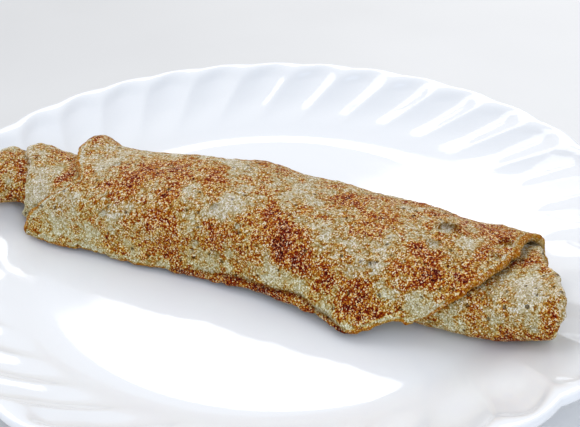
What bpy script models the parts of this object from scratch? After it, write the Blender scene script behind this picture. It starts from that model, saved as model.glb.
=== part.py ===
"""A rolled dosa lying on a round white plate with a fluted, scalloped rim.

Metres, +Z up. The plate stands on z = 0 with its middle at the origin, and the
roll lies along X with the free edge of its flap towards -Y.
"""

import math

import bpy
import numpy as np

# Plate
PLATE_RADIUS = 0.125
PLATE_HEIGHT = 0.022
RIM_CREST = 0.124
WELL_RADIUS = 0.0805
WELL_FLOOR = 0.004
WALL = 0.003
RISE_SOFTNESS = 0.6
LIP_FROM = 0.87
LIP_EASE = 4.7
RIM_BULGE = 0.0012
FOOT_OUTER = 0.078
FOOT_INNER = 0.071
FOOT_HEIGHT = WELL_FLOOR - WALL
FOOT_SLOPE = 0.001
UPPER_RADII = [0.0, 0.058, WELL_RADIUS, 0.088, 0.095, 0.102, 0.109, 0.1165, 0.1208, RIM_CREST]
LOWER_RADII = [0.1235, 0.1175, 0.109, 0.101, 0.093, 0.085]
MERGE = 0.00001

# Flutes pressed into the rim, which turn by about one flute on their way out
FLUTES = 34
FLUTE_PITCH = 2.0 * math.pi / FLUTES
FIRST_RIDGE = math.radians(105.1)
FLUTE_TWIST = math.radians(11.5)
FLUTE_START = 0.092
FLUTE_FULL = 0.109
FLUTE_DEPTH = 0.0018
ARCH_TOP = 0.1228
ARCH_DROP = 0.0050
SCALLOP = 0.0016
STEPS_PER_FLUTE = 5

# The sheet that is rolled up
SHEET = 0.0028
RESTING_GAP = 0.0004
LAYER_RISE = 0.0036
LAYER_STEP = 0.0038
BOTTOM_TURN = 0.78
LAST_TURN = 3.4
TOP_ROUNDNESS = 2.5
BOTTOM_ROUNDNESS = 4.5
ROUNDNESS_BLEND = 1.5

# The roll's outline at places along it: front and back as Y, and its height
ROLL_FRONT = [(-0.110, -0.0250), (-0.088, -0.0235), (-0.055, -0.0252), (-0.015, -0.0250),
              (0.015, -0.0280), (0.060, -0.0330), (0.080, -0.0337), (0.100, -0.0365)]
ROLL_BACK = [(-0.110, 0.0135), (-0.088, 0.0165), (-0.055, 0.0205), (-0.015, 0.0230),
             (0.020, 0.0205), (0.060, 0.0175), (0.100, 0.0100)]
ROLL_HEIGHT = [(-0.110, 0.0212), (-0.088, 0.0228), (-0.055, 0.0250), (-0.015, 0.0270),
               (0.030, 0.0252), (0.070, 0.0240), (0.100, 0.0225)]

# The sheet's left and right edges as X, by turns wound inward from the front
LEFT_EDGE = [(-0.15, -0.0855), (-0.10, -0.0865), (-0.03, -0.0850), (0.03, -0.0820), (0.09, -0.0770),
             (0.12, -0.0720), (0.16, -0.0690), (0.24, -0.0760), (0.30, -0.0785), (0.45, -0.0785),
             (0.60, -0.0880), (0.80, -0.0940), (0.95, -0.0895), (1.03, -0.0885), (1.10, -0.0895),
             (1.20, -0.0930), (1.30, -0.0985), (1.60, -0.1000), (1.85, -0.1050), (2.10, -0.1070),
             (2.50, -0.1070), (3.00, -0.1040), (3.40, -0.0980)]
RIGHT_EDGE = [(-0.15, 0.0560), (-0.07, 0.0565), (-0.02, 0.0605), (0.03, 0.0645), (0.07, 0.0685),
              (0.11, 0.0720), (0.15, 0.0760), (0.18, 0.0785), (0.24, 0.0820), (0.29, 0.0840),
              (0.355, 0.0850), (0.40, 0.0885), (0.52, 0.0900), (0.80, 0.0965), (0.90, 0.0990),
              (1.00, 0.1000), (1.10, 0.0995), (1.18, 0.0972), (1.22, 0.0955), (1.28, 0.0915),
              (1.35, 0.0895), (1.80, 0.0895), (2.10, 0.0880), (2.50, 0.0860), (3.00, 0.0880),
              (3.40, 0.0840)]

# The flap's lower edge as turns, and how far it stands out from the roll, by X
FLAP_EDGE = [(-0.087, -0.110), (-0.020, -0.110), (0.006, -0.100), (0.020, -0.095),
             (0.030, -0.100), (0.038, -0.108), (0.0425, -0.094), (0.0480, -0.072),
             (0.0515, -0.056), (0.0545, -0.0675), (0.0568, -0.058)]
FLAP_FLARE = [(-0.090, 0.0), (-0.022, 0.0), (0.0, 0.0022), (0.012, 0.0045), (0.026, 0.0088),
              (0.037, 0.0125), (0.044, 0.0095), (0.050, 0.0060), (0.055, 0.0030),
              (0.062, 0.0020), (0.075, 0.0)]
FLARE_TURN = 0.10
FLARE_SPAN = 0.22
FLARE_MOST = 1.2

# How far the lowest part of the flap turns outward along the plate, by X
HEM_REACH = [(-0.090, 0.0022), (-0.030, 0.0022), (-0.012, 0.0026), (0.0, 0.0018),
             (0.012, 0.0), (0.030, 0.0)]
HEM_TURN = -0.045
HEM_SPAN = 0.060

# The inner turns sink to the plate, widen and lean forward where they stand out on the left
END_FROM = -0.092
END_SPAN = 0.014
END_SAG = 0.0024
END_LEAN = 0.0042
END_GROW = 0.0020

# The corner of the sheet that curls up at the back on the left
CURL_AT = -0.0765
CURL_WIDTH = 0.0065
CURL_TURN = 0.36
CURL_SPAN = 0.11
CURL_LIFT = 0.0038

# Low swellings of the outer turn: waves by X, by turns, and where each starts
SWELL = 0.0003
SWELL_WAVES = [(118.0, 9.0, 0.0), (61.0, -17.0, 1.3), (210.0, 25.0, 0.6)]
SWELL_LAST = 0.75
SWELL_FADE = 0.30

# Mesh of the sheet
EDGE_COLUMNS = 4
OUTER_STEP = 0.05
INNER_STEP = 0.10
FINE_TURNS = 1.20
ROWS = 32


def smooth_step(value):
    """0 below 0, 1 above 1, and a smooth rise between."""
    value = np.clip(value, 0.0, 1.0)
    return value * value * (3.0 - 2.0 * value)


def through(value, points):
    """A smooth curve through points, that doesn't overshoot between them."""
    xs = np.array([point[0] for point in points])
    ys = np.array([point[1] for point in points])
    rise = np.diff(ys) / np.diff(xs)
    steady = rise[:-1] * rise[1:] > 0.0
    mean = 2.0 * rise[:-1] * rise[1:] / np.where(steady, rise[:-1] + rise[1:], 1.0)
    slope = np.concatenate([rise[:1], np.where(steady, mean, 0.0), rise[-1:]])
    value = np.clip(value, xs[0], xs[-1])
    left = np.clip(np.searchsorted(xs, value) - 1, 0, len(xs) - 2)
    span = xs[left + 1] - xs[left]
    part = (value - xs[left]) / span
    rest = 1.0 - part
    return (rest * rest * ((1.0 + 2.0 * part) * ys[left] + part * span * slope[left])
            + part * part * ((3.0 - 2.0 * part) * ys[left + 1] - rest * span * slope[left + 1]))


def plate_top(radius):
    """Height of the plate's upper face before the flutes are pressed in."""
    part = np.clip((radius - WELL_RADIUS) / (RIM_CREST - WELL_RADIUS), 0.0, 1.0)
    rise = part * part * (1.0 + RISE_SOFTNESS) / (part + RISE_SOFTNESS)
    rise = rise - LIP_EASE * np.maximum(part - LIP_FROM, 0.0) ** 2
    return WELL_FLOOR + (PLATE_HEIGHT - WELL_FLOOR) * rise / (1.0 - LIP_EASE * (1.0 - LIP_FROM) ** 2)


def flute_height(radius, across):
    """How far the plate is pressed down; across runs from -0.5 to 0.5 over a flute."""
    arc = np.cos(math.pi * across)
    arch = ARCH_TOP - ARCH_DROP * (1.0 - arc)
    fade_in = smooth_step((radius - FLUTE_START) / (FLUTE_FULL - FLUTE_START))
    fade_out = smooth_step((arch - radius) / ARCH_DROP)
    return -FLUTE_DEPTH * arc * fade_in * fade_out


def flute_point(point):
    """Moves a point of the turned plate to its place on the fluted one."""
    x, y, z = point
    radius = math.hypot(x, y)
    angle = math.atan2(y, x)
    across = (angle / FLUTE_PITCH) % 1.0 - 0.5
    outward = (radius - FLUTE_START) / (PLATE_RADIUS - FLUTE_START)
    z += float(flute_height(radius, across))
    radius += SCALLOP * (math.cos(math.pi * across) - 1.0) * float(smooth_step(outward)) ** 3
    angle += FIRST_RIDGE + FLUTE_TWIST * (1.0 - min(max(outward, 0.0), 1.0))
    return radius * math.cos(angle), radius * math.sin(angle), z


def plate_profile():
    """Radius and height from the middle of the top, out and round, to the middle below."""
    points = [(radius, float(plate_top(radius))) for radius in UPPER_RADII]
    points.append((PLATE_RADIUS, PLATE_HEIGHT - RIM_BULGE))
    points += [(radius, float(plate_top(radius)) - WALL) for radius in LOWER_RADII]
    points += [(FOOT_OUTER + FOOT_SLOPE, FOOT_HEIGHT), (FOOT_OUTER, 0.0), (FOOT_INNER, 0.0),
               (FOOT_INNER - FOOT_SLOPE, FOOT_HEIGHT), (0.0, FOOT_HEIGHT)]
    return points


def new_object(name, mesh, material):
    """An object in the dosa's collection with one material."""
    made = bpy.data.objects.new(name, mesh)
    bpy.data.collections["dosa on a plate"].objects.link(made)
    made.data.materials.append(material)
    return made


def new_material(name, colour, roughness):
    """A Principled material with one colour and no metal."""
    made = bpy.data.materials.new(name)
    made.use_nodes = True
    shader = made.node_tree.nodes["Principled BSDF"]
    shader.inputs["Base Color"].default_value = (*colour, 1.0)
    shader.inputs["Roughness"].default_value = roughness
    shader.inputs["Metallic"].default_value = 0.0
    return made


def evaluated_mesh(source):
    """The mesh of an object with its modifiers applied, with the object removed."""
    bpy.context.view_layer.update()
    graph = bpy.context.evaluated_depsgraph_get()
    mesh = bpy.data.meshes.new_from_object(source.evaluated_get(graph))
    bpy.data.objects.remove(source)
    return mesh


def make_plate():
    """The plate: a turned profile whose rim is pressed into flutes."""
    points = plate_profile()
    profile = bpy.data.meshes.new("plate profile")
    profile.from_pydata([(radius, 0.0, height) for radius, height in points],
                        [(n, n + 1) for n in range(len(points) - 1)], [])
    glaze = new_material("white glaze", (0.86, 0.87, 0.88), 0.12)
    turned = new_object("plate profile", profile, glaze)
    screw = turned.modifiers.new("turn", "SCREW")
    screw.steps = screw.render_steps = FLUTES * STEPS_PER_FLUTE
    screw.use_merge_vertices = True
    screw.merge_threshold = MERGE
    mesh = evaluated_mesh(turned)
    for vertex in mesh.vertices:
        vertex.co = flute_point(vertex.co)
    mesh.shade_smooth()
    return new_object("plate", mesh, glaze)


def roll_section(along):
    """Half width, half height and middle in Y of the outermost turn."""
    front = through(along, ROLL_FRONT)
    back = through(along, ROLL_BACK)
    height = through(along, ROLL_HEIGHT) - SHEET + LAYER_RISE * (BOTTOM_TURN + 0.25)
    return 0.5 * (back - front), 0.5 * height, 0.5 * (back + front)


def swell(turns, along):
    """Low uneven swellings, only on the turn that shows."""
    waves = sum(np.sin(along * by_x + turns * by_turn + start)
                for by_x, by_turn, start in SWELL_WAVES)
    return SWELL * waves * smooth_step((SWELL_LAST - turns) / SWELL_FADE)


def curl(turns, along):
    """Lift of the corner that curls up at the back."""
    return (CURL_LIFT * np.exp(-((along - CURL_AT) / CURL_WIDTH) ** 2)
            * np.exp(-((turns - CURL_TURN) / CURL_SPAN) ** 2))


def sheet_point(turns, along):
    """Y and Z of the middle of the sheet, wound inward by turns, at a place along the roll."""
    half_width, half_height, middle = roll_section(along)
    angle = 2.0 * math.pi * turns
    cosine, sine = np.cos(angle), np.sin(angle)
    upper = smooth_step(0.5 + ROUNDNESS_BLEND * sine)
    power = BOTTOM_ROUNDNESS + (TOP_ROUNDNESS - BOTTOM_ROUNDNESS) * upper
    square = (np.abs(cosine) ** power + np.abs(sine) ** power) ** (-1.0 / power)
    end = smooth_step((END_FROM - along) / END_SPAN)
    grow = swell(turns, along) + curl(turns, along) + END_GROW * end
    y = middle - (half_width - LAYER_STEP * turns + grow) * cosine * square
    centre = WELL_FLOOR + RESTING_GAP + 0.5 * SHEET + half_height - LAYER_RISE * BOTTOM_TURN
    z = centre + (half_height - LAYER_RISE * turns + grow) * sine * square
    flare = np.clip((FLARE_TURN - turns) / FLARE_SPAN, 0.0, FLARE_MOST)
    hem = smooth_step((HEM_TURN - turns) / HEM_SPAN)
    y = y - through(along, FLAP_FLARE) * flare * flare - through(along, HEM_REACH) * hem - END_LEAN * end
    floor = WELL_FLOOR + RESTING_GAP + 0.5 * SHEET
    return y, np.maximum(z - END_SAG * end, floor) + plate_top(np.hypot(along, y)) - WELL_FLOOR


def column_turns():
    """Turns of the columns past the edge columns."""
    fine = np.arange(OUTER_STEP, FINE_TURNS + 0.5 * OUTER_STEP, OUTER_STEP)
    coarse = np.arange(FINE_TURNS + INNER_STEP, LAST_TURN + 0.5 * INNER_STEP, INNER_STEP)
    return np.concatenate([fine, coarse])


def sheet_grid():
    """Places of the sheet's middle surface, by column and row."""
    across = np.linspace(0.0, 1.0, ROWS + 1)[None, :]
    edge_x = LEFT_EDGE[1][1] + across * (RIGHT_EDGE[1][1] - LEFT_EDGE[1][1])
    edge = through(edge_x, FLAP_EDGE)
    first = edge + (OUTER_STEP - edge) * np.linspace(0.0, 1.0, EDGE_COLUMNS + 1)[:-1, None]
    rest = np.repeat(column_turns()[:, None], ROWS + 1, axis=1)
    turns = np.concatenate([first, rest])
    left = through(turns, LEFT_EDGE)
    along = left + across * (through(turns, RIGHT_EDGE) - left)
    y, z = sheet_point(turns, along)
    return np.stack([along, y, z], axis=-1)


def make_dosa():
    """The dosa: a grid bent into the wound sheet and given its thickness."""
    places = sheet_grid()
    columns, rows = places.shape[:2]
    bpy.ops.mesh.primitive_grid_add(x_subdivisions=columns - 1, y_subdivisions=rows - 1, size=2.0)
    grid = bpy.context.object
    for vertex in grid.data.vertices:
        column = round(0.5 * (vertex.co.x + 1.0) * (columns - 1))
        row = round(0.5 * (vertex.co.y + 1.0) * (rows - 1))
        vertex.co = places[column, row]
    mesh = grid.data.copy()
    bpy.data.objects.remove(grid)
    mesh.shade_smooth()
    crust = new_material("dosa crust", (0.56, 0.33, 0.13), 0.55)
    dosa = new_object("dosa", mesh, crust)
    solid = dosa.modifiers.new("thickness", "SOLIDIFY")
    solid.thickness = SHEET
    solid.offset = 0.0
    return dosa


def main():
    """Clears the scene and models the dosa and its plate."""
    for old in list(bpy.data.objects):
        bpy.data.objects.remove(old)
    collection = bpy.data.collections.new("dosa on a plate")
    bpy.context.scene.collection.children.link(collection)
    make_plate()
    make_dosa()


main()
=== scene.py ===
"""The looks of a rolled dosa on a fluted white plate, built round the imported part.

Metres, +Z up, in the part's frame: the plate's foot stands on z = 0 with its middle at
the origin, and the roll lies along X with the free edge of its flap towards -Y.
"""

import math

import bpy
import numpy as np
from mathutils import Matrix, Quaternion, Vector


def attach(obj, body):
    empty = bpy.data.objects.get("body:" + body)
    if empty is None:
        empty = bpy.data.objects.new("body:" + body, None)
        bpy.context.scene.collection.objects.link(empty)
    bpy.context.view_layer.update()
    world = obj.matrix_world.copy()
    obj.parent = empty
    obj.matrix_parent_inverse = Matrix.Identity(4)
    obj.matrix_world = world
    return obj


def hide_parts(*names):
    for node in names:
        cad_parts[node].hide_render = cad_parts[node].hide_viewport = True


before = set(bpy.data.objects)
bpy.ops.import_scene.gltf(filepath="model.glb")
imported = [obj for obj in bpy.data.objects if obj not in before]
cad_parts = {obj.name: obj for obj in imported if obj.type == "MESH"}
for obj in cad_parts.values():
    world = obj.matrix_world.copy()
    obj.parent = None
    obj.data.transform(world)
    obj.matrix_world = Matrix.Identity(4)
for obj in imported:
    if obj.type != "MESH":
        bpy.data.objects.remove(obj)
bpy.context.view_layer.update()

# Plate, as in the part
PLATE_RADIUS = 0.125
PLATE_HEIGHT = 0.022
RIM_CREST = 0.124
WELL_RADIUS = 0.0805
WELL_FLOOR = 0.004
WALL = 0.003
RISE_SOFTNESS = 0.6
LIP_FROM = 0.87
LIP_EASE = 4.7
FOOT_OUTER = 0.078
FOOT_INNER = 0.071
FOOT_HEIGHT = WELL_FLOOR - WALL
FLUTES = 34
FLUTE_PITCH = 2.0 * math.pi / FLUTES
FIRST_RIDGE = math.radians(105.1)
FLUTE_TWIST = math.radians(11.5)
FLUTE_START = 0.092
FLUTE_FULL = 0.109
FLUTE_DEPTH = 0.0018
ARCH_TOP = 0.1228
ARCH_DROP = 0.0050
SCALLOP = 0.0016

# Mesh of the plate: steps round each flute, and steps of radius on the upper and under faces
STEPS_PER_FLUTE = 14
UPPER_STEP = 0.0011
UNDER_STEP = 0.003
LIP_STEPS = 8
INNERMOST = 0.002
UNDER_RINGS = (0.060, 0.040, 0.020, INNERMOST)

# Under face: gaps left to the lip and to the foot, and the foot's slope and rounded corners
LIP_GAP = 0.002
FOOT_GAP = 0.006
FOOT_SLOPE = 0.002
FOOT_CORNER = 0.0006

# The rolled sheet, as in the part
SHEET = 0.0028
RESTING_GAP = 0.0004
LAYER_RISE = 0.0036
LAYER_STEP = 0.0038
TOP_TURN = 0.25
BOTTOM_TURN = 0.78
LAST_TURN = 3.4
TOP_ROUNDNESS = 2.5
BOTTOM_ROUNDNESS = 4.5
ROUNDNESS_BLEND = 1.5

# The roll's outline at places along it: front and back as Y, and its height
ROLL_FRONT = [(-0.110, -0.0250), (-0.088, -0.0235), (-0.055, -0.0252), (-0.015, -0.0250),
              (0.015, -0.0280), (0.060, -0.0330), (0.080, -0.0337), (0.100, -0.0365)]
ROLL_BACK = [(-0.110, 0.0135), (-0.088, 0.0165), (-0.055, 0.0205), (-0.015, 0.0230),
             (0.020, 0.0205), (0.060, 0.0175), (0.100, 0.0100)]
ROLL_HEIGHT = [(-0.110, 0.0212), (-0.088, 0.0228), (-0.055, 0.0250), (-0.015, 0.0270),
               (0.030, 0.0252), (0.070, 0.0240), (0.100, 0.0225)]

# The sheet's left and right edges as X, by turns wound inward from the front
LEFT_EDGE = [(-0.15, -0.0855), (-0.10, -0.0865), (-0.03, -0.0850), (0.03, -0.0820), (0.09, -0.0770),
             (0.12, -0.0720), (0.16, -0.0690), (0.24, -0.0760), (0.30, -0.0785), (0.45, -0.0785),
             (0.60, -0.0880), (0.80, -0.0940), (0.95, -0.0895), (1.03, -0.0885), (1.10, -0.0895),
             (1.20, -0.0930), (1.30, -0.0985), (1.60, -0.1000), (1.85, -0.1050), (2.10, -0.1070),
             (2.50, -0.1070), (3.00, -0.1040), (3.40, -0.0980)]
RIGHT_EDGE = [(-0.15, 0.0560), (-0.07, 0.0565), (-0.02, 0.0605), (0.03, 0.0645), (0.07, 0.0685),
              (0.11, 0.0720), (0.15, 0.0760), (0.18, 0.0785), (0.24, 0.0820), (0.29, 0.0840),
              (0.355, 0.0850), (0.40, 0.0885), (0.52, 0.0900), (0.80, 0.0965), (0.90, 0.0990),
              (1.00, 0.1000), (1.10, 0.0995), (1.18, 0.0972), (1.22, 0.0955), (1.28, 0.0915),
              (1.35, 0.0895), (1.80, 0.0895), (2.10, 0.0880), (2.50, 0.0860), (3.00, 0.0880),
              (3.40, 0.0840)]

# The flap's lower edge as turns, and how far it stands out from the roll, by X
FLAP_EDGE = [(-0.087, -0.110), (-0.020, -0.110), (0.006, -0.100), (0.020, -0.095),
             (0.030, -0.100), (0.038, -0.108), (0.0425, -0.094), (0.0480, -0.072),
             (0.0515, -0.056), (0.0545, -0.0675), (0.0568, -0.058)]
FLAP_FLARE = [(-0.090, 0.0), (-0.022, 0.0), (0.0, 0.0022), (0.012, 0.0045), (0.026, 0.0088),
              (0.037, 0.0125), (0.044, 0.0095), (0.050, 0.0060), (0.055, 0.0030),
              (0.062, 0.0020), (0.075, 0.0)]
FLARE_TURN = 0.10
FLARE_SPAN = 0.22
FLARE_MOST = 1.2

# How far the hem reaches out below the flap, by X, and the turns over which it does
HEM_REACH = [(-0.090, 0.0022), (-0.030, 0.0022), (-0.012, 0.0026), (0.0, 0.0018),
             (0.012, 0.0), (0.030, 0.0)]
HEM_TURN = -0.045
HEM_SPAN = 0.060

# The roll's left end: where it starts along X, how far it sags and leans, and how it widens
END_FROM = -0.092
END_SPAN = 0.014
END_SAG = 0.0024
END_LEAN = 0.0042
END_GROW = 0.0020

# The corner that curls up at the back: its place and width by X and by turns, and its lift
CURL_AT = -0.0765
CURL_WIDTH = 0.0065
CURL_TURN = 0.36
CURL_SPAN = 0.11
CURL_LIFT = 0.0038

# Low swellings: height, waves as (by X, by turns, start), and the turns where they fade out
SWELL = 0.0003
SWELL_WAVES = [(118.0, 9.0, 0.0), (61.0, -17.0, 1.3), (210.0, 25.0, 0.6)]
SWELL_LAST = 0.75
SWELL_FADE = 0.30

# Mesh of the sheet: where its stretches end in turns, and steps along the surface
OUTER_LAST = 0.80
SECOND_LAST = 1.42
FINE_STEP = 0.00062
MIDDLE_STEP = 0.0030
INNER_STEP = 0.0011
TURN_SAMPLES = 4001

# Its rounded edges, and how many columns of the outer face go with one of the inner face
EDGE_ROUNDING = 0.0013
EDGE_FRACTIONS = [0.0, 0.04, 0.14, 0.32, 0.60, 1.0]
INNER_SKIP = 2

# Steps in turns and in metres along X between the points that a normal is worked out from
NORMAL_TURNS = 0.002
NORMAL_ALONG = 0.0003

# Where whole columns of the sheet's mesh start, and metres of sheet per turn near the flap
WHOLE_COLUMNS = 0.05
FLAP_TURN_LENGTH = 0.10

# Usual widths of the sheet and of its parts, from which the columns are counted
OUTER_LENGTH = 0.160
LEFT_END_LENGTH = 0.020
MIDDLE_LENGTH = 0.130
RIGHT_END_LENGTH = 0.040

# Relief of the crust and raggedness of its edges, as noises of (cell, amount, shift) in metres
RELIEF = [(0.0085, 0.00040, 2.0), (0.0036, 0.00028, 11.1), (0.0018, 0.00022, 20.2)]
RAGGED = [(0.0030, 0.0006, 0.0), (0.0012, 0.00036, 5.0)]

# Shifts of the noise between one ragged edge and the next
LEFT_SHIFT = 40.0
RIGHT_SHIFT = 60.0
FLAP_SHIFT = 80.0

# The line by X where the pale skirt of the flap ends and its browned hem comes out below it
HEM_LINE = [(-0.087, -0.118), (-0.036, -0.106), (-0.0185, -0.084), (0.000, -0.076), (0.013, -0.062),
            (0.019, -0.056), (0.0255, -0.076), (0.0305, -0.082), (0.0385, -0.104), (0.0450, -0.120)]
HEM_SOFTNESS = 0.008
HEM_BROWN = 0.40

# The crease along that line: its strength by X, width in turns and depth
CREASE_SPAN = [(-0.040, 0.0), (-0.015, 0.55), (0.010, 1.0), (0.034, 1.0), (0.040, 0.0)]
CREASE_WIDTH = 0.0075
CREASE_DEPTH = 0.0008

# How far the look of a free edge reaches in, and its share on the inner turns
EDGE_BAND = 0.0040
INNER_EDGE = 0.55

# Shadow on the second layer beside the outer turn's right edge
FLAP_SHADOW = 0.65
FLAP_SHADOW_WIDTH = 0.0016

# Hollows left by large bubbles: turns, X, radius and depth
CRATERS = [(0.260, 0.0600, 0.0030, 0.0019), (0.196, 0.0575, 0.0018, 0.0011),
           (0.276, 0.0785, 0.0020, 0.0014), (0.216, 0.0765, 0.0018, 0.0011),
           (0.132, -0.0155, 0.0010, 0.0010), (0.096, -0.0050, 0.0010, 0.0010),
           (-0.016, -0.0120, 0.0012, 0.0012), (0.236, -0.0585, 0.0012, 0.0008),
           (0.012, -0.0195, 0.0011, 0.0010), (0.064, -0.0540, 0.0010, 0.0010),
           (0.104, 0.0410, 0.0011, 0.0009), (0.944, 0.0925, 0.0014, 0.0007)]

# Their width as a share of their length along X, and the step in turns that tells which way is up
CRATER_SQUASH = 0.72
CRATER_UP_STEP = 0.01

# Reach of a hollow and place, width and height of its rim, as shares of its radius and depth
CRATER_REACH = 1.35
CRATER_RIM_AT = 1.15
CRATER_RIM_WIDTH = 0.25
CRATER_RIM = 0.35

# How pale a hollow is, where its upper wall is in shadow, and the depth that makes it full shadow
CRATER_PALE = 0.42
CRATER_SHADE_AT = 0.9
CRATER_SHADE_WIDTH = 0.25
CRATER_SHADE_FROM = 0.1
CRATER_DEEP = 0.0014

# Browned and pale patches: turns, X, radius, and how much browner or paler
BROWNED = [(0.136, 0.0075, 0.0045, 0.30), (0.100, 0.0110, 0.0044, 0.48), (0.072, 0.0140, 0.0044, 0.48),
           (0.044, 0.0190, 0.0040, 0.32), (0.000, 0.0260, 0.0045, 0.24), (-0.036, 0.0325, 0.0048, 0.32),
           (-0.056, 0.0380, 0.0050, 0.32), (0.040, 0.0395, 0.0050, 0.22), (0.144, 0.0570, 0.0080, 0.26),
           (0.108, 0.0605, 0.0042, 0.34), (0.084, 0.0655, 0.0042, 0.24), (0.156, 0.0485, 0.0050, 0.18),
           (0.312, 0.0745, 0.0048, 0.46), (0.280, 0.0800, 0.0036, 0.30), (0.184, 0.0700, 0.0042, 0.24),
           (0.076, -0.0310, 0.0036, 0.32), (-0.032, -0.0285, 0.0055, 0.26), (-0.088, -0.0355, 0.0050, 0.26),
           (0.200, -0.0510, 0.0070, 0.24), (0.248, -0.0355, 0.0075, 0.24), (0.276, -0.0475, 0.0070, 0.20),
           (0.156, -0.0570, 0.0038, 0.22), (0.288, -0.0735, 0.0060, 0.18), (0.024, -0.0120, 0.0050, 0.22),
           (0.224, -0.0245, 0.0070, 0.18), (0.168, 0.0000, 0.0060, 0.16), (0.140, -0.0500, 0.0040, 0.20),
           (-0.080, -0.0710, 0.0040, 0.22), (0.004, 0.0445, 0.0050, 0.20), (2.080, -0.1030, 0.0050, 0.30),
           (1.184, -0.0760, 0.0035, 0.40), (1.216, 0.0950, 0.0040, 0.30), (0.948, 0.0970, 0.0050, 0.34),
           (0.360, -0.0765, 0.0045, 0.22), (0.932, 0.0860, 0.0050, 0.34), (0.925, 0.0740, 0.0050, 0.30),
           (1.244, 0.0855, 0.0050, 0.34), (1.080, 0.0755, 0.0040, 0.20)]
PALE = [(0.132, -0.0125, 0.0060, 0.42), (0.312, -0.0175, 0.0080, 0.34), (0.352, -0.0425, 0.0060, 0.28),
        (-0.008, -0.0715, 0.0060, 0.40), (0.000, 0.0090, 0.0060, 0.40), (-0.028, 0.0200, 0.0050, 0.40),
        (-0.056, 0.0295, 0.0045, 0.36), (0.044, 0.0555, 0.0050, 0.36), (0.192, 0.0485, 0.0036, 0.30),
        (0.144, -0.0395, 0.0040, 0.26), (0.220, -0.0625, 0.0036, 0.26), (0.104, 0.0390, 0.0040, 0.24),
        (-0.064, -0.0155, 0.0045, 0.26), (0.056, -0.0215, 0.0040, 0.22), (0.044, -0.0490, 0.0045, 0.26),
        (-0.068, -0.0590, 0.0045, 0.24), (0.240, 0.0680, 0.0036, 0.30), (1.136, 0.0860, 0.0065, 0.34),
        (1.048, 0.0995, 0.0045, 0.28), (1.060, 0.0790, 0.0045, 0.26), (1.200, -0.0845, 0.0060, 0.30),
        (1.056, -0.0840, 0.0045, 0.36)]

# Browning between the patches, with noises of (cell, amount, shift), and the patches' wander
BROWN_START = 0.372
BROWN_CELLS = [(0.0120, 0.13, 21.0), (0.0050, 0.30, 27.3)]
WARP_CELL = 0.005
WARP = 0.0022
WARP_SHIFTS = (3.1, 7.7, 12.9)

# Colours of the batter by how browned it is
CRUST_RAMP = [(0.05, (0.70, 0.640, 0.480)), (0.19, (0.645, 0.550, 0.340)), (0.36, (0.59, 0.405, 0.130)),
              (0.49, (0.57, 0.308, 0.042)), (0.61, (0.53, 0.206, 0.011)), (0.745, (0.46, 0.130, 0.004)),
              (0.91, (0.360, 0.073, 0.004)), (1.0, (0.300, 0.053, 0.005))]
CRUMB_RAMP = [(0.0, (0.65, 0.56, 0.36)), (0.45, (0.55, 0.38, 0.12)), (0.75, (0.46, 0.21, 0.025)),
              (1.0, (0.24, 0.07, 0.004))]

# Textures of the batter: scales, one over metres, and how much two of them brown
GRAIN_SCALE = 2100.0
FINE_SCALE = 2600.0
SPECK_SCALE = 620.0
SPECK_AMOUNT = 0.75
MOTTLE_SCALE = 240.0
MOTTLE_ROUGHNESS = 0.6
MOTTLE_DISTORTION = 0.3
MOTTLE_AMOUNT = 1.10

# Free edges, by ranges of the attribute edge: a pale line, a painted highlight along the crest, and beside
# it a golden band
CREST_HIGHLIGHT_INSIDE = (0.28, 0.44)
CREST_HIGHLIGHT_OUTSIDE = (0.68, 0.54)
CREST_HIGHLIGHT = 0.24
GOLDEN_BAND = (0.58, 0.74)
GOLDEN_MOTTLE = (0.36, 0.54, 0.60, 1.0)
GOLDEN_LEVEL = 0.49
GOLDEN_SHARE = 0.95
GOLDEN_CONTRAST = 0.40

# Grains: share of the fine ones, contrast from pale to brown crust, gammas from dark to light
FINE_SHARE = 0.6
GRAIN_CONTRAST = (0.1, 0.6, 0.88, 1.20)
GRAIN_GAMMA = (0.15, 0.85, 3.1, 0.20)

# Painted glints: highlights painted into the colour of the lightest grains, stronger where the crust is
# brown
GLINT_SHADES = (0.74, 0.84)
GLINT_BROWN = (0.15, 0.55, 0.25, 1.0)
PAINTED_GLINT_SHARE = 0.42
PAINTED_GLINT_COLOUR = (0.92, 0.78, 0.62)

# Tint of the crust by its height, and a noise that makes the height uncertain
LOW_TINT = (0.985, 1.0, 0.90)
HIGH_TINT = (0.99, 0.975, 1.02)
TINT_HEIGHTS = (0.012, 0.028)
TINT_SCALE = 90.0
TINT_WANDER = 0.03

# Pits: scale, wander, their core as a share of their size, and which cells have one; each is a dent, with
# painted shade in it
PIT_SCALE = 310.0
PIT_WARP_SCALE = 930.0
PIT_WARP = 0.0013
PIT_CORE = 0.45
PIT_CELLS = (0.49, 0.58)
# Painted shade in the pits: its strength and colour
PIT_SHADE = 0.85
PIT_SHADE_COLOUR = (0.24, 0.17, 0.10)

# Size of the pits, and how much less browned the sheet's inner face is
CRUST_PITS = 0.22
CRUMB_PITS = 0.30
CRUMB_BROWN = -0.1

# Shadow in the crease, in the hollows and beside the outer turn
SHADE_SHARE = 0.80
SHADE_COLOUR = (0.22, 0.13, 0.06)

# Surface of the batter: roughness by the specks, gloss, light that enters it, heights in metres
CRUST_ROUGHNESS = (0.35, 0.65, 0.38, 0.60)
CRUST_SPECULAR = 0.06
SUBSURFACE = 0.08
SUBSURFACE_RADIUS = (1.0, 0.55, 0.25)
SUBSURFACE_SCALE = 0.0008
GRAIN_HEIGHT = 0.00030
SPECK_HEIGHT = 0.0009
PIT_DEPTH = 0.0006

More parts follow.
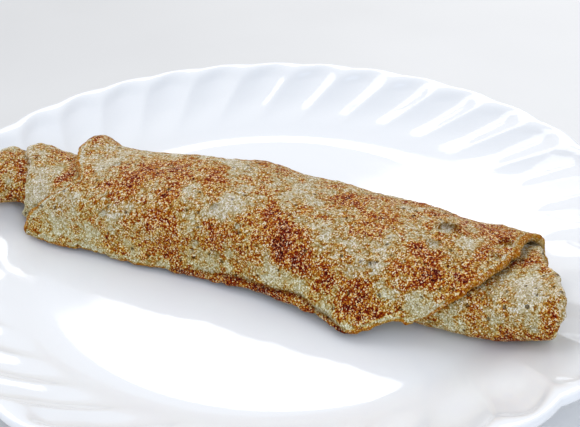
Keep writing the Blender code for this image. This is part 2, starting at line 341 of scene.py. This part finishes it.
# Glaze of the plate: colours, and scales and strengths of its faint unevenness
GLAZE_COOL = (0.86, 0.875, 0.90)
GLAZE_WARM = (0.88, 0.89, 0.91)
GLAZE_TINT_SCALE = 14.0
GLAZE_SHEEN_SCALE = 60.0
GLAZE_ROUGHNESS = (0.3, 0.7, 0.05, 0.09)
GLAZE_IOR = 1.5
GLAZE_WAVE_SCALE = 45.0
GLAZE_WAVE_HEIGHT = 0.00004

# Floor: colours from left to right, where they blend by X, and an unevenness of the blend; the darker left
# and lighter right are painted light, a falloff of the light across the floor
FLOOR_SIZE = 8.0
FLOOR_SHADED_LEFT = (0.455, 0.455, 0.455)
FLOOR_LIT_RIGHT = (0.83, 0.825, 0.82)
FLOOR_BLEND = (-0.6, 0.2)
FLOOR_SCALE = 9.0
FLOOR_WANDER = 0.25
FLOOR_ROUGHNESS = 0.8

# Lights: name, degrees from +Y towards -X, up and of tilt, distance, width and height, power, colour
LIGHTS = [("window", (19.5, 40.6, 24.0), 2.0, (1.25, 0.58), 8.6, (1.0, 0.985, 0.96)),
          ("side_window", (74.0, 52.0, 0.0), 2.0, (1.4, 0.55), 8.0, (1.0, 0.985, 0.96)),
          ("fill", (-150.0, 40.0, 0.0), 2.0, (1.8, 1.4), 13.0, (0.62, 0.78, 1.0))]
ROOM_COLOUR = (0.91, 0.92, 0.945)
ROOM_LIGHT = 0.77

# Camera, fitted to the plate's rim in the photograph
CAMERA_PLACE = Vector((0.10498, -0.2742, 0.1995))
CAMERA_AIM = Vector((-0.2932, 0.7995, -0.5243))
SENSOR = 36.0
LENS = 62.07
NEAREST = 0.01

random = np.random.default_rng(11)


def smooth_step(value):
    """0 below 0, 1 above 1, and a smooth rise between."""
    value = np.clip(value, 0.0, 1.0)
    return value * value * (3.0 - 2.0 * value)


def through(value, points):
    """A smooth curve through points, that doesn't overshoot between them."""
    xs = np.array([point[0] for point in points])
    ys = np.array([point[1] for point in points])
    rise = np.diff(ys) / np.diff(xs)
    steady = rise[:-1] * rise[1:] > 0.0
    mean = 2.0 * rise[:-1] * rise[1:] / np.where(steady, rise[:-1] + rise[1:], 1.0)
    slope = np.concatenate([rise[:1], np.where(steady, mean, 0.0), rise[-1:]])
    value = np.clip(value, xs[0], xs[-1])
    left = np.clip(np.searchsorted(xs, value) - 1, 0, len(xs) - 2)
    span = xs[left + 1] - xs[left]
    part = (value - xs[left]) / span
    rest = 1.0 - part
    return (rest * rest * ((1.0 + 2.0 * part) * ys[left] + part * span * slope[left])
            + part * part * ((3.0 - 2.0 * part) * ys[left + 1] - rest * span * slope[left + 1]))


LATTICE = 48
LATTICE_START = 1000.0
LATTICE_VALUES = random.uniform(-1.0, 1.0, (LATTICE, LATTICE, LATTICE))


def lumps(points, cell, shift=0.0):
    """Smooth random values from -1 to 1 in space, with lumps of about one cell."""
    places = points / cell + shift + LATTICE_START
    corner = np.floor(places).astype(int)
    part = places - corner
    part = part * part * (3.0 - 2.0 * part)
    total = np.zeros(points.shape[:-1])
    for dx in (0, 1):
        for dy in (0, 1):
            for dz in (0, 1):
                weight = (np.where(dx, part[..., 0], 1.0 - part[..., 0])
                          * np.where(dy, part[..., 1], 1.0 - part[..., 1])
                          * np.where(dz, part[..., 2], 1.0 - part[..., 2]))
                total += weight * LATTICE_VALUES[(corner[..., 0] + dx) % LATTICE,
                                                 (corner[..., 1] + dy) % LATTICE,
                                                 (corner[..., 2] + dz) % LATTICE]
    return total


def noises(places, listed, shift=0.0):
    """Sum of the listed noises, each given by its cell, amount and own shift."""
    return sum(amount * lumps(places, cell, shift + own_shift) for cell, amount, own_shift in listed)


def plate_top(radius):
    """Height of the plate's upper face before the flutes are pressed in."""
    part = np.clip((radius - WELL_RADIUS) / (RIM_CREST - WELL_RADIUS), 0.0, 1.0)
    rise = part * part * (1.0 + RISE_SOFTNESS) / (part + RISE_SOFTNESS)
    rise = rise - LIP_EASE * np.maximum(part - LIP_FROM, 0.0) ** 2
    return WELL_FLOOR + (PLATE_HEIGHT - WELL_FLOOR) * rise / (1.0 - LIP_EASE * (1.0 - LIP_FROM) ** 2)


def flute_height(radius, across):
    """How far the plate is pressed down; across runs from -0.5 to 0.5 over a flute."""
    arc = np.cos(math.pi * across)
    arch = ARCH_TOP - ARCH_DROP * (1.0 - arc)
    fade_in = smooth_step((radius - FLUTE_START) / (FLUTE_FULL - FLUTE_START))
    fade_out = smooth_step((arch - radius) / ARCH_DROP)
    return -FLUTE_DEPTH * arc * fade_in * fade_out


def fluted(radius, angle, height):
    """Moves points of the turned plate to their places on the fluted one."""
    across = (angle / FLUTE_PITCH) % 1.0 - 0.5
    outward = np.clip((radius - FLUTE_START) / (PLATE_RADIUS - FLUTE_START), 0.0, 1.0)
    height = height + flute_height(radius, across)
    radius = radius + SCALLOP * (np.cos(math.pi * across) - 1.0) * smooth_step(outward) ** 3
    angle = angle + FIRST_RIDGE + FLUTE_TWIST * (1.0 - outward)
    return np.stack([radius * np.cos(angle), radius * np.sin(angle), height], axis=-1)


def plate_profile():
    """Radius and height from near the middle of the top, out and round, to near the middle below."""
    upper = np.arange(INNERMOST, RIM_CREST, UPPER_STEP)
    points = [(radius, float(plate_top(radius))) for radius in upper]
    middle = PLATE_HEIGHT - 0.5 * WALL
    for turn in np.linspace(0.5 * math.pi, -0.5 * math.pi, LIP_STEPS + 1):
        outward = (PLATE_RADIUS - RIM_CREST) * math.cos(turn)
        points.append((RIM_CREST + outward, middle + 0.5 * WALL * math.sin(turn)))
    for radius in np.arange(RIM_CREST - LIP_GAP, FOOT_OUTER + FOOT_GAP, -UNDER_STEP):
        points.append((radius, float(plate_top(radius)) - WALL))
    points += [(FOOT_OUTER + FOOT_SLOPE, FOOT_HEIGHT), (FOOT_OUTER + FOOT_CORNER, FOOT_CORNER),
               (FOOT_OUTER - FOOT_CORNER, 0.0), (FOOT_INNER + FOOT_CORNER, 0.0),
               (FOOT_INNER - FOOT_CORNER, FOOT_CORNER), (FOOT_INNER - FOOT_SLOPE, FOOT_HEIGHT)]
    points += [(radius, FOOT_HEIGHT) for radius in UNDER_RINGS]
    return np.array(points)


def roll_section(along):
    """Half width, half height and middle in Y of the outermost turn."""
    front = through(along, ROLL_FRONT)
    back = through(along, ROLL_BACK)
    height = through(along, ROLL_HEIGHT) - SHEET + LAYER_RISE * (TOP_TURN + BOTTOM_TURN)
    return 0.5 * (back - front), 0.5 * height, 0.5 * (back + front)


def swell(turns, along):
    """Low uneven swellings, only on the turn that shows."""
    waves = sum(np.sin(along * by_x + turns * by_turn + start)
                for by_x, by_turn, start in SWELL_WAVES)
    return SWELL * waves * smooth_step((SWELL_LAST - turns) / SWELL_FADE)


def curl(turns, along):
    """Lift of the corner that curls up at the back."""
    return (CURL_LIFT * np.exp(-((along - CURL_AT) / CURL_WIDTH) ** 2)
            * np.exp(-((turns - CURL_TURN) / CURL_SPAN) ** 2))


def sheet_point(turns, along):
    """The middle of the sheet, wound inward by turns, at a place along the roll."""
    half_width, half_height, middle = roll_section(along)
    angle = 2.0 * math.pi * turns
    cosine, sine = np.cos(angle), np.sin(angle)
    upper = smooth_step(0.5 + ROUNDNESS_BLEND * sine)
    power = BOTTOM_ROUNDNESS + (TOP_ROUNDNESS - BOTTOM_ROUNDNESS) * upper
    square = (np.abs(cosine) ** power + np.abs(sine) ** power) ** (-1.0 / power)
    end = smooth_step((END_FROM - along) / END_SPAN)
    grow = swell(turns, along) + curl(turns, along) + END_GROW * end
    y = middle - (half_width - LAYER_STEP * turns + grow) * cosine * square
    centre = WELL_FLOOR + RESTING_GAP + 0.5 * SHEET + half_height - LAYER_RISE * BOTTOM_TURN
    z = centre + (half_height - LAYER_RISE * turns + grow) * sine * square
    flare = np.clip((FLARE_TURN - turns) / FLARE_SPAN, 0.0, FLARE_MOST)
    hem = smooth_step((HEM_TURN - turns) / HEM_SPAN)
    y = y - through(along, FLAP_FLARE) * flare * flare - through(along, HEM_REACH) * hem - END_LEAN * end
    floor = WELL_FLOOR + RESTING_GAP + 0.5 * SHEET
    z = np.maximum(z - END_SAG * end, floor) + plate_top(np.hypot(along, y)) - WELL_FLOOR
    return np.stack([along, y, z], axis=-1)


def sheet_normal(turns, along):
    """The direction out of the sheet's outer face."""
    round_it = sheet_point(turns + NORMAL_TURNS, along) - sheet_point(turns - NORMAL_TURNS, along)
    lengthwise = sheet_point(turns, along + NORMAL_ALONG) - sheet_point(turns, along - NORMAL_ALONG)
    normal = np.cross(lengthwise, round_it)
    return normal / np.linalg.norm(normal, axis=-1, keepdims=True)


def spaced_turns(first, last, step):
    """Turns from first to last, a step of the surface apart at the roll's middle."""
    fine = np.linspace(first, last, TURN_SAMPLES)
    places = sheet_point(fine, np.zeros_like(fine))
    travelled = np.concatenate([[0.0], np.cumsum(np.linalg.norm(np.diff(places, axis=0), axis=1))])
    count = max(2, int(round(travelled[-1] / step)))
    return np.interp(np.linspace(0.0, travelled[-1], count + 1), travelled, fine)


def patches(places, listed):
    """Sum of the listed patches at places on the surface."""
    total = np.zeros(places.shape[:-1])
    for turns, along, radius, amount in listed:
        centre = sheet_point(np.array(turns), np.array(along))
        squared = np.sum((places - centre) ** 2, axis=-1)
        total += amount * np.exp(-squared / (radius * radius))
    return total


def browning(places, turns, along):
    """How browned the crust is, from 0, pale, to 1, deep red-brown."""
    wander = np.stack([lumps(places, WARP_CELL, shift) for shift in WARP_SHIFTS], axis=-1)
    warped = places + WARP * wander
    level = BROWN_START + patches(warped, BROWNED) - patches(warped, PALE)
    level = level - patches(places, [(at, x, radius, CRATER_PALE) for at, x, radius, depth in CRATERS])
    return level + noises(places, BROWN_CELLS) + HEM_BROWN * hem_share(turns, along)


def hem_share(turns, along):
    """1 on the browned hem that comes out below the flap's pale skirt, and 0 above it."""
    return smooth_step(0.5 + (through(along, HEM_LINE) - turns) / HEM_SOFTNESS)


def crease(turns, along):
    """1 in the crease between the flap's pale skirt and its hem, and 0 away from it."""
    return through(along, CREASE_SPAN) * np.exp(-((turns - through(along, HEM_LINE)) / CREASE_WIDTH) ** 2)


def flap_shadow(turns, along):
    """Darkness on the second layer just beside the outer turn's right edge."""
    beside = along - through(turns - 1.0, RIGHT_EDGE)
    return FLAP_SHADOW * np.exp(-(beside / FLAP_SHADOW_WIDTH) ** 2)


def crater_place(places, turns, along, radius):
    """Distance from a hollow's middle, and way up the crust from it, as shares of its radius."""
    centre = sheet_point(np.array(turns), np.array(along))
    upward = sheet_point(np.array(turns + CRATER_UP_STEP), np.array(along)) - centre
    away = (places - centre) * np.array([CRATER_SQUASH, 1.0, 1.0]) / radius
    return np.linalg.norm(away, axis=-1), away @ (upward / np.linalg.norm(upward))


def crater_relief(places):
    """Depth of the large bubbles' hollows, with a low rim round each."""
    total = np.zeros(places.shape[:-1])
    for turns, along, radius, depth in CRATERS:
        share = crater_place(places, turns, along, radius)[0]
        rim = CRATER_RIM * np.exp(-((share - CRATER_RIM_AT) / CRATER_RIM_WIDTH) ** 2)
        total += depth * (rim - smooth_step(CRATER_REACH - share))
    return total


def crater_shade(places):
    """Darkness on the upper wall of each large bubble's hollow."""
    total = np.zeros(places.shape[:-1])
    for turns, along, radius, depth in CRATERS:
        share, upward = crater_place(places, turns, along, radius)
        wall = np.exp(-((share - CRATER_SHADE_AT) / CRATER_SHADE_WIDTH) ** 2)
        total += depth / CRATER_DEEP * wall * smooth_step(upward - CRATER_SHADE_FROM)
    return total


def relief(places):
    """How far the outer face stands out from the smooth sheet."""
    return crater_relief(places) + noises(places, RELIEF)


def rounded(distance):
    """Share of the sheet's thickness at a distance in from its edge."""
    share = np.clip(1.0 - distance / EDGE_ROUNDING, 0.0, 1.0)
    return np.sqrt(1.0 - share * share)


def shares_across(stretches):
    """Shares from one side edge to the other, for stretches of (length, step) in metres."""
    edge = EDGE_ROUNDING * np.array(EDGE_FRACTIONS)
    places = list(edge)
    for length, step in stretches:
        count = int(round(length / step))
        places += list(places[-1] + length / count * np.arange(1, count + 1))
    places += list(places[-1] + EDGE_ROUNDING - edge[::-1][1:])
    return np.array(places) / places[-1]


def side_edges(turns):
    """X of the sheet's ragged left and right edges."""
    left = through(turns, LEFT_EDGE)
    right = through(turns, RIGHT_EDGE)
    return (left + noises(sheet_point(turns, left), RAGGED, LEFT_SHIFT),
            right + noises(sheet_point(turns, right), RAGGED, RIGHT_SHIFT))


def flap_turns(across):
    """Turns of the flap's first columns, from its ragged edge to where whole columns start."""
    left, right = LEFT_EDGE[1][1], RIGHT_EDGE[1][1]
    edge_x = left + across * (right - left)
    edge = through(edge_x, FLAP_EDGE)
    edge = edge + noises(sheet_point(edge, edge_x), RAGGED, FLAP_SHIFT) / FLAP_TURN_LENGTH
    length = FLAP_TURN_LENGTH * (WHOLE_COLUMNS - FLAP_EDGE[0][1])
    near = EDGE_ROUNDING * np.array(EDGE_FRACTIONS) / length
    rest = np.linspace(near[-1], 1.0, int(length / FINE_STEP) + 1)[1:]
    shares = np.concatenate([near, rest])[:-1, None]
    return edge + (WHOLE_COLUMNS - edge) * shares


def grid_faces(first, index):
    """Faces of a grid of vertex numbers, numbered from first, for rows and columns in index."""
    numbers = first + index
    return np.stack([numbers[:-1, :-1], numbers[:-1, 1:], numbers[1:, 1:], numbers[1:, :-1]],
                    axis=-1).reshape(-1, 4)


def sheet_values(turns, along, middle, near_edge, is_outer):
    """What the crust's look depends on at each point: browning, nearness of an edge, and shade."""
    edge = (1.0 - np.clip(near_edge / EDGE_BAND, 0.0, 1.0)) * (1.0 - hem_share(turns, along))
    shade = crease(turns, along) + crater_shade(middle)
    if not is_outer:
        edge = edge * INNER_EDGE
        shade = shade + flap_shadow(turns, along)
    return {"browning": browning(middle, turns, along), "edge": edge, "shade": np.minimum(shade, 1.0)}


def inner_columns(count):
    """Numbers of the columns that the inner face keeps: all at the rounded edges, and some between."""
    columns = np.arange(count)
    edge = len(EDGE_FRACTIONS)
    return np.concatenate([columns[:edge], columns[edge:-edge:INNER_SKIP], columns[-edge:]])


def sheet_piece(name, turns, across, is_outer, materials):
    """A stretch of the sheet as a mesh with an outer and an inner face: the outer turn or the rest."""
    left, right = side_edges(turns)
    along = left + across * (right - left)
    middle = sheet_point(turns, along)
    thick = rounded(along - left) * rounded(right - along)
    near_edge = np.minimum(along - left, right - along)
    travelled = np.cumsum(np.linalg.norm(np.diff(middle, axis=0, prepend=middle[:1]), axis=-1), axis=0)
    if is_outer:
        thick = thick * rounded(travelled)
        near_edge = np.minimum(near_edge, travelled)
    else:
        thick = thick * rounded(travelled[-1] - travelled)
    normal = sheet_normal(turns, along)
    half = 0.5 * SHEET * thick
    raised = half + (relief(middle) - CREASE_DEPTH * crease(turns, along)) * thick
    kept = inner_columns(len(across[0]))
    outer = middle + normal * raised[..., None]
    inner = (middle - normal * half[..., None])[:, kept]
    rows, columns = outer.shape[:2]
    outer_faces = grid_faces(0, np.arange(rows * columns).reshape(rows, columns))[:, ::-1]
    inner_faces = grid_faces(rows * columns, np.arange(rows * len(kept)).reshape(rows, len(kept)))
    places = np.concatenate([outer.reshape(-1, 3), inner.reshape(-1, 3)])
    made = mesh_piece(name, places, np.concatenate([outer_faces, inner_faces]).tolist(), materials)
    sides = np.repeat([0, 1], [len(outer_faces), len(inner_faces)])
    made.data.polygons.foreach_set("material_index", sides)
    for title, value in sheet_values(turns, along, middle, near_edge, is_outer).items():
        values = np.concatenate([value.reshape(-1), value[:, kept].reshape(-1)])
        attribute = made.data.attributes.new(title, "FLOAT", "POINT")
        attribute.data.foreach_set("value", values.astype(np.float32))
    return made


def mesh_piece(name, places, faces, materials):
    """A smooth-shaded mesh object from an array of places and a list of faces."""
    mesh = bpy.data.meshes.new(name)
    mesh.from_pydata(places.tolist(), [], faces)
    mesh.shade_smooth()
    for material in materials:
        mesh.materials.append(material)
    made = bpy.data.objects.new(name, mesh)
    bpy.context.scene.collection.objects.link(made)
    return made


def make_dosa(crust, crumb):
    """The rolled sheet: the outer turn with its flap, and the turns inside it."""
    across = shares_across([(OUTER_LENGTH, FINE_STEP)])[None, :]
    first = flap_turns(across)
    rest = spaced_turns(WHOLE_COLUMNS, OUTER_LAST, FINE_STEP)[:, None]
    turns = np.concatenate([first, np.repeat(rest, across.shape[1], axis=1)])
    outer = sheet_piece("dosa_outer_turn", turns, across, True, [crust, crumb])
    across = shares_across([(LEFT_END_LENGTH, FINE_STEP), (MIDDLE_LENGTH, MIDDLE_STEP),
                            (RIGHT_END_LENGTH, FINE_STEP)])[None, :]
    second = spaced_turns(OUTER_LAST, SECOND_LAST, FINE_STEP)
    inside = spaced_turns(SECOND_LAST, LAST_TURN, INNER_STEP)[1:]
    turns = np.repeat(np.concatenate([second, inside])[:, None], across.shape[1], axis=1)
    inner = sheet_piece("dosa_inner_turns", turns, across, False, [crust, crumb])
    for piece in (outer, inner):
        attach(piece, "root")
        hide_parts("dosa")


def make_plate(glaze):
    """The plate with its flutes and scalloped lip."""
    profile = plate_profile()
    steps = FLUTES * STEPS_PER_FLUTE
    angle = (np.arange(steps) * 2.0 * math.pi / steps)[None, :]
    places = fluted(profile[:, :1], angle, profile[:, 1:])
    rings = len(profile)
    numbers = np.arange(rings * steps).reshape(rings, steps)
    numbers = np.concatenate([numbers, numbers[:, :1]], axis=1)
    faces = grid_faces(0, numbers)[:, ::-1].tolist()
    faces.append(list(range(steps)))
    faces.append(list(range(rings * steps - 1, (rings - 1) * steps - 1, -1)))
    made = mesh_piece("plate_dressed", places.reshape(-1, 3), faces, [glaze])
    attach(made, "root")
    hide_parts("plate")


class Nodes:
    """Short ways to add nodes to a material."""

    def __init__(self, name):
        self.material = bpy.data.materials.new(name)
        self.material.use_nodes = True
        self.tree = self.material.node_tree
        self.shader = self.tree.nodes["Principled BSDF"]
        coordinates = self.tree.nodes.new("ShaderNodeTexCoord")
        self.place = coordinates.outputs["Object"]

    def join(self, source, socket):
        """Links an output to an input, or sets the input to a number."""
        if isinstance(source, (int, float, tuple)):
            socket.default_value = source
        else:
            self.tree.links.new(source, socket)

    def noise(self, scale, detail=2.0, roughness=0.5, distortion=0.0):
        """Noise from about 0.2 to 0.8, with features of one over scale metres."""
        node = self.tree.nodes.new("ShaderNodeTexNoise")
        self.join(self.place, node.inputs["Vector"])
        node.inputs["Scale"].default_value = scale
        node.inputs["Detail"].default_value = detail
        node.inputs["Roughness"].default_value = roughness
        node.inputs["Distortion"].default_value = distortion
        return node.outputs["Fac"]

    def cells(self, scale, place=None):
        """Distance to the nearest of points scattered in space, and a random colour for each."""
        node = self.tree.nodes.new("ShaderNodeTexVoronoi")
        self.join(place or self.place, node.inputs["Vector"])
        node.inputs["Scale"].default_value = scale
        return node.outputs["Distance"], node.outputs["Color"]

    def warped_place(self, scale, amount):
        """Places pushed about by a noise, by up to half the amount in metres."""
        node = self.tree.nodes.new("ShaderNodeTexNoise")
        self.join(self.place, node.inputs["Vector"])
        node.inputs["Scale"].default_value = scale
        push = self.tree.nodes.new("ShaderNodeVectorMath")
        push.operation = "MULTIPLY_ADD"
        self.join(node.outputs["Color"], push.inputs[0])
        push.inputs[1].default_value = (amount, amount, amount)
        self.join(self.place, push.inputs[2])
        return push.outputs["Vector"]

    def attribute(self, name):
        """A value kept on the mesh."""
        node = self.tree.nodes.new("ShaderNodeAttribute")
        node.attribute_name = name
        return node.outputs["Fac"]

    def along_axis(self, axis):
        """One coordinate of the place, by the name of its axis."""
        node = self.tree.nodes.new("ShaderNodeSeparateXYZ")
        self.join(self.place, node.inputs["Vector"])
        return node.outputs[axis]

    def sum(self, first, second, operation="ADD"):
        """Two values put together by one operation."""
        node = self.tree.nodes.new("ShaderNodeMath")
        node.operation = operation
        self.join(first, node.inputs[0])
        self.join(second, node.inputs[1])
        return node.outputs["Value"]

    def times(self, first, second):
        """The product of two values."""
        return self.sum(first, second, "MULTIPLY")

    def swing(self, value, amount):
        """How far a value is over or under a half, times an amount."""
        return self.times(self.sum(value, -0.5), amount)

    def spread(self, value, low, high, new_low=0.0, new_high=1.0):
        """The value taken from one range to another, and kept inside it."""
        node = self.tree.nodes.new("ShaderNodeMapRange")
        node.interpolation_type = "SMOOTHSTEP"
        self.join(value, node.inputs["Value"])
        numbers = (("From Min", low), ("From Max", high), ("To Min", new_low), ("To Max", new_high))
        for socket, number in numbers:
            node.inputs[socket].default_value = number
        return node.outputs["Result"]

    def ramp(self, value, stops):
        """A colour from a value, by stops of (value, colour)."""
        node = self.tree.nodes.new("ShaderNodeValToRGB")
        self.join(value, node.inputs["Fac"])
        elements = node.color_ramp.elements
        elements[0].position, elements[0].color = stops[0][0], (*stops[0][1], 1.0)
        elements[1].position, elements[1].color = stops[-1][0], (*stops[-1][1], 1.0)
        for position, colour in stops[1:-1]:
            elements.new(position).color = (*colour, 1.0)
        return node.outputs["Color"]

    def mix(self, share, first, second, blend="MIX"):
        """A colour between two, by a share from 0 to 1."""
        node = self.tree.nodes.new("ShaderNodeMix")
        node.data_type = "RGBA"
        node.blend_type = blend
        self.join(share, node.inputs[0])
        for socket, source in ((6, first), (7, second)):
            self.join((*source, 1.0) if isinstance(source, tuple) else source, node.inputs[socket])
        return node.outputs[2]

    def gamma(self, colour, power):
        """A colour raised to a power: darker over 1 and lighter under it."""
        node = self.tree.nodes.new("ShaderNodeGamma")
        self.join(colour, node.inputs["Color"])
        self.join(power, node.inputs["Gamma"])
        return node.outputs["Color"]

    def bump(self, height, distance, below=None):
        """A bump of a real height in metres, on top of another one below."""
        node = self.tree.nodes.new("ShaderNodeBump")
        self.join(height, node.inputs["Height"])
        node.inputs["Distance"].default_value = distance
        node.inputs["Strength"].default_value = 1.0
        if below is not None:
            self.join(below, node.inputs["Normal"])
        return node.outputs["Normal"]


def browned(nodes, mottle, speck, shift):
    """How browned the crust is with its textures and edges, with a painted highlight along each edge's
    crest, and how golden its edge is.
    """
    brown = nodes.sum(nodes.attribute("browning"), shift)
    brown = nodes.sum(brown, nodes.swing(mottle, MOTTLE_AMOUNT))
    brown = nodes.sum(brown, nodes.swing(speck, SPECK_AMOUNT))
    edge = nodes.attribute("edge")
    # Painted highlight: a paler line along the crest just inside each free edge
    crest_highlight = nodes.spread(edge, *CREST_HIGHLIGHT_INSIDE)
    crest_highlight = nodes.times(crest_highlight, nodes.spread(edge, *CREST_HIGHLIGHT_OUTSIDE))
    brown = nodes.sum(brown, nodes.times(crest_highlight, -CREST_HIGHLIGHT))
    golden = nodes.times(nodes.spread(edge, *GOLDEN_BAND), nodes.spread(mottle, *GOLDEN_MOTTLE))
    missing = nodes.sum(GOLDEN_LEVEL, brown, "SUBTRACT")
    return nodes.sum(brown, nodes.times(nodes.times(golden, GOLDEN_SHARE), missing)), golden


def grained(nodes, colour, brown, golden, shade, fine_shade):
    """The crust's colour with lighter and darker grains, and with painted glints, highlights put into the
    colour, on the lightest.
    """
    shade = nodes.sum(nodes.times(shade, 1.0 - FINE_SHARE), nodes.times(fine_shade, FINE_SHARE))
    contrast = nodes.spread(brown, *GRAIN_CONTRAST)
    contrast = nodes.times(contrast, nodes.spread(golden, 0.0, 1.0, 1.0, GOLDEN_CONTRAST))
    shade = nodes.sum(nodes.swing(shade, contrast), 0.5)
    colour = nodes.gamma(colour, nodes.spread(shade, *GRAIN_GAMMA))
    # Painted highlight: glints mixed into the colour of the lightest grains
    painted_glints = nodes.times(nodes.spread(fine_shade, *GLINT_SHADES), nodes.spread(brown, *GLINT_BROWN))
    return nodes.mix(nodes.times(painted_glints, PAINTED_GLINT_SHARE), colour, PAINTED_GLINT_COLOUR)


def crust_material(name, ramp, brown_shift, pit_size):
    """Griddled batter: mottled browning over a granular, pitted surface."""
    nodes = Nodes(name)
    grain, shade = nodes.cells(GRAIN_SCALE)
    fine_shade = nodes.cells(FINE_SCALE)[1]
    speck = nodes.noise(SPECK_SCALE, detail=1.0)
    mottle = nodes.noise(MOTTLE_SCALE, roughness=MOTTLE_ROUGHNESS, distortion=MOTTLE_DISTORTION)
    brown, golden = browned(nodes, mottle, speck, brown_shift)
    colour = grained(nodes, nodes.ramp(brown, ramp), brown, golden, shade, fine_shade)
    height = nodes.sum(nodes.along_axis("Z"), nodes.swing(nodes.noise(TINT_SCALE), TINT_WANDER))
    tint = nodes.mix(nodes.spread(height, *TINT_HEIGHTS), LOW_TINT, HIGH_TINT)
    colour = nodes.mix(1.0, colour, tint, "MULTIPLY")
    holes, chosen = nodes.cells(PIT_SCALE, nodes.warped_place(PIT_WARP_SCALE, PIT_WARP))
    pit = nodes.spread(holes, pit_size, PIT_CORE * pit_size)
    pit = nodes.times(pit, nodes.spread(chosen, *PIT_CELLS))
    # Painted shade: the pits darkened towards their cores; the same mask dents the bump
    colour = nodes.mix(nodes.times(pit, PIT_SHADE), colour, PIT_SHADE_COLOUR, "MULTIPLY")
    shadow = nodes.times(nodes.attribute("shade"), SHADE_SHARE)
    colour = nodes.mix(shadow, colour, SHADE_COLOUR, "MULTIPLY")
    nodes.join(colour, nodes.shader.inputs["Base Color"])
    nodes.join(nodes.spread(speck, *CRUST_ROUGHNESS), nodes.shader.inputs["Roughness"])
    nodes.shader.inputs["Specular IOR Level"].default_value = CRUST_SPECULAR
    nodes.shader.inputs["Subsurface Weight"].default_value = SUBSURFACE
    nodes.shader.inputs["Subsurface Radius"].default_value = SUBSURFACE_RADIUS
    nodes.shader.inputs["Subsurface Scale"].default_value = SUBSURFACE_SCALE
    normal = nodes.bump(speck, SPECK_HEIGHT)
    normal = nodes.bump(nodes.times(grain, -1.0), GRAIN_HEIGHT, normal)
    normal = nodes.bump(nodes.times(pit, -1.0), PIT_DEPTH, normal)
    nodes.join(normal, nodes.shader.inputs["Normal"])
    return nodes.material


def glaze_material():
    """White glaze with the faint waviness of fired ware."""
    nodes = Nodes("plate_glaze")
    tint = nodes.mix(nodes.noise(GLAZE_TINT_SCALE), GLAZE_COOL, GLAZE_WARM)
    nodes.join(tint, nodes.shader.inputs["Base Color"])
    sheen = nodes.spread(nodes.noise(GLAZE_SHEEN_SCALE), *GLAZE_ROUGHNESS)
    nodes.join(sheen, nodes.shader.inputs["Roughness"])
    nodes.shader.inputs["IOR"].default_value = GLAZE_IOR
    wave = nodes.bump(nodes.noise(GLAZE_WAVE_SCALE), GLAZE_WAVE_HEIGHT)
    nodes.join(wave, nodes.shader.inputs["Normal"])
    return nodes.material


def floor_material():
    """A pale cloth-like table top, with painted light: darker to the left and lighter to the right."""
    nodes = Nodes("pale_floor")
    # Painted light: the floor's colour blends from a darker left to a lighter right
    across = nodes.spread(nodes.along_axis("X"), *FLOOR_BLEND)
    across = nodes.sum(across, nodes.swing(nodes.noise(FLOOR_SCALE), FLOOR_WANDER))
    nodes.join(nodes.mix(across, FLOOR_SHADED_LEFT, FLOOR_LIT_RIGHT), nodes.shader.inputs["Base Color"])
    nodes.shader.inputs["Roughness"].default_value = FLOOR_ROUGHNESS
    return nodes.material


def make_floor():
    """The pale floor, which is only for the picture."""
    bpy.ops.mesh.primitive_plane_add(size=FLOOR_SIZE, location=(0.0, 0.0, 0.0))
    floor = bpy.context.object
    floor.name = "floor"
    floor.data.materials.append(floor_material())


def make_light(name, degrees, distance, size, power, colour):
    """A soft rectangular light that looks at the origin."""
    round_it, up, tilt = (math.radians(value) for value in degrees)
    level = math.cos(up)
    place = Vector((-math.sin(round_it) * level, math.cos(round_it) * level, math.sin(up)))
    light = bpy.data.lights.new(name, "AREA")
    light.shape = "RECTANGLE"
    light.size, light.size_y = size
    light.energy = power
    light.color = colour
    lamp = bpy.data.objects.new(name, light)
    bpy.context.scene.collection.objects.link(lamp)
    lamp.location = distance * place
    turned = (-place).to_track_quat("-Z", "Y") @ Quaternion((0.0, 0.0, 1.0), tilt)
    lamp.rotation_euler = turned.to_euler()


def make_room():
    """The even light from all round."""
    world = bpy.data.worlds.new("studio")
    bpy.context.scene.world = world
    world.use_nodes = True
    background = world.node_tree.nodes["Background"]
    background.inputs["Color"].default_value = (*ROOM_COLOUR, 1.0)
    background.inputs["Strength"].default_value = ROOM_LIGHT


def make_camera():
    """The camera, where the photograph was taken from."""
    data = bpy.data.cameras.new("camera")
    data.sensor_width = SENSOR
    data.lens = LENS
    data.clip_start = NEAREST
    camera = bpy.data.objects.new("camera", data)
    bpy.context.scene.collection.objects.link(camera)
    camera.location = CAMERA_PLACE
    camera.rotation_euler = CAMERA_AIM.to_track_quat("-Z", "Y").to_euler()
    bpy.context.scene.camera = camera


def main():
    """Dresses the dosa and its plate and sets up the picture."""
    crust = crust_material("dosa_crust", CRUST_RAMP, 0.0, CRUST_PITS)
    crumb = crust_material("dosa_crumb_side", CRUMB_RAMP, CRUMB_BROWN, CRUMB_PITS)
    make_dosa(crust, crumb)
    make_plate(glaze_material())
    make_floor()
    for light in LIGHTS:
        make_light(*light)
    make_room()
    make_camera()
    view = bpy.context.scene.view_settings
    view.view_transform = "Standard"
    view.look = "None"


main()
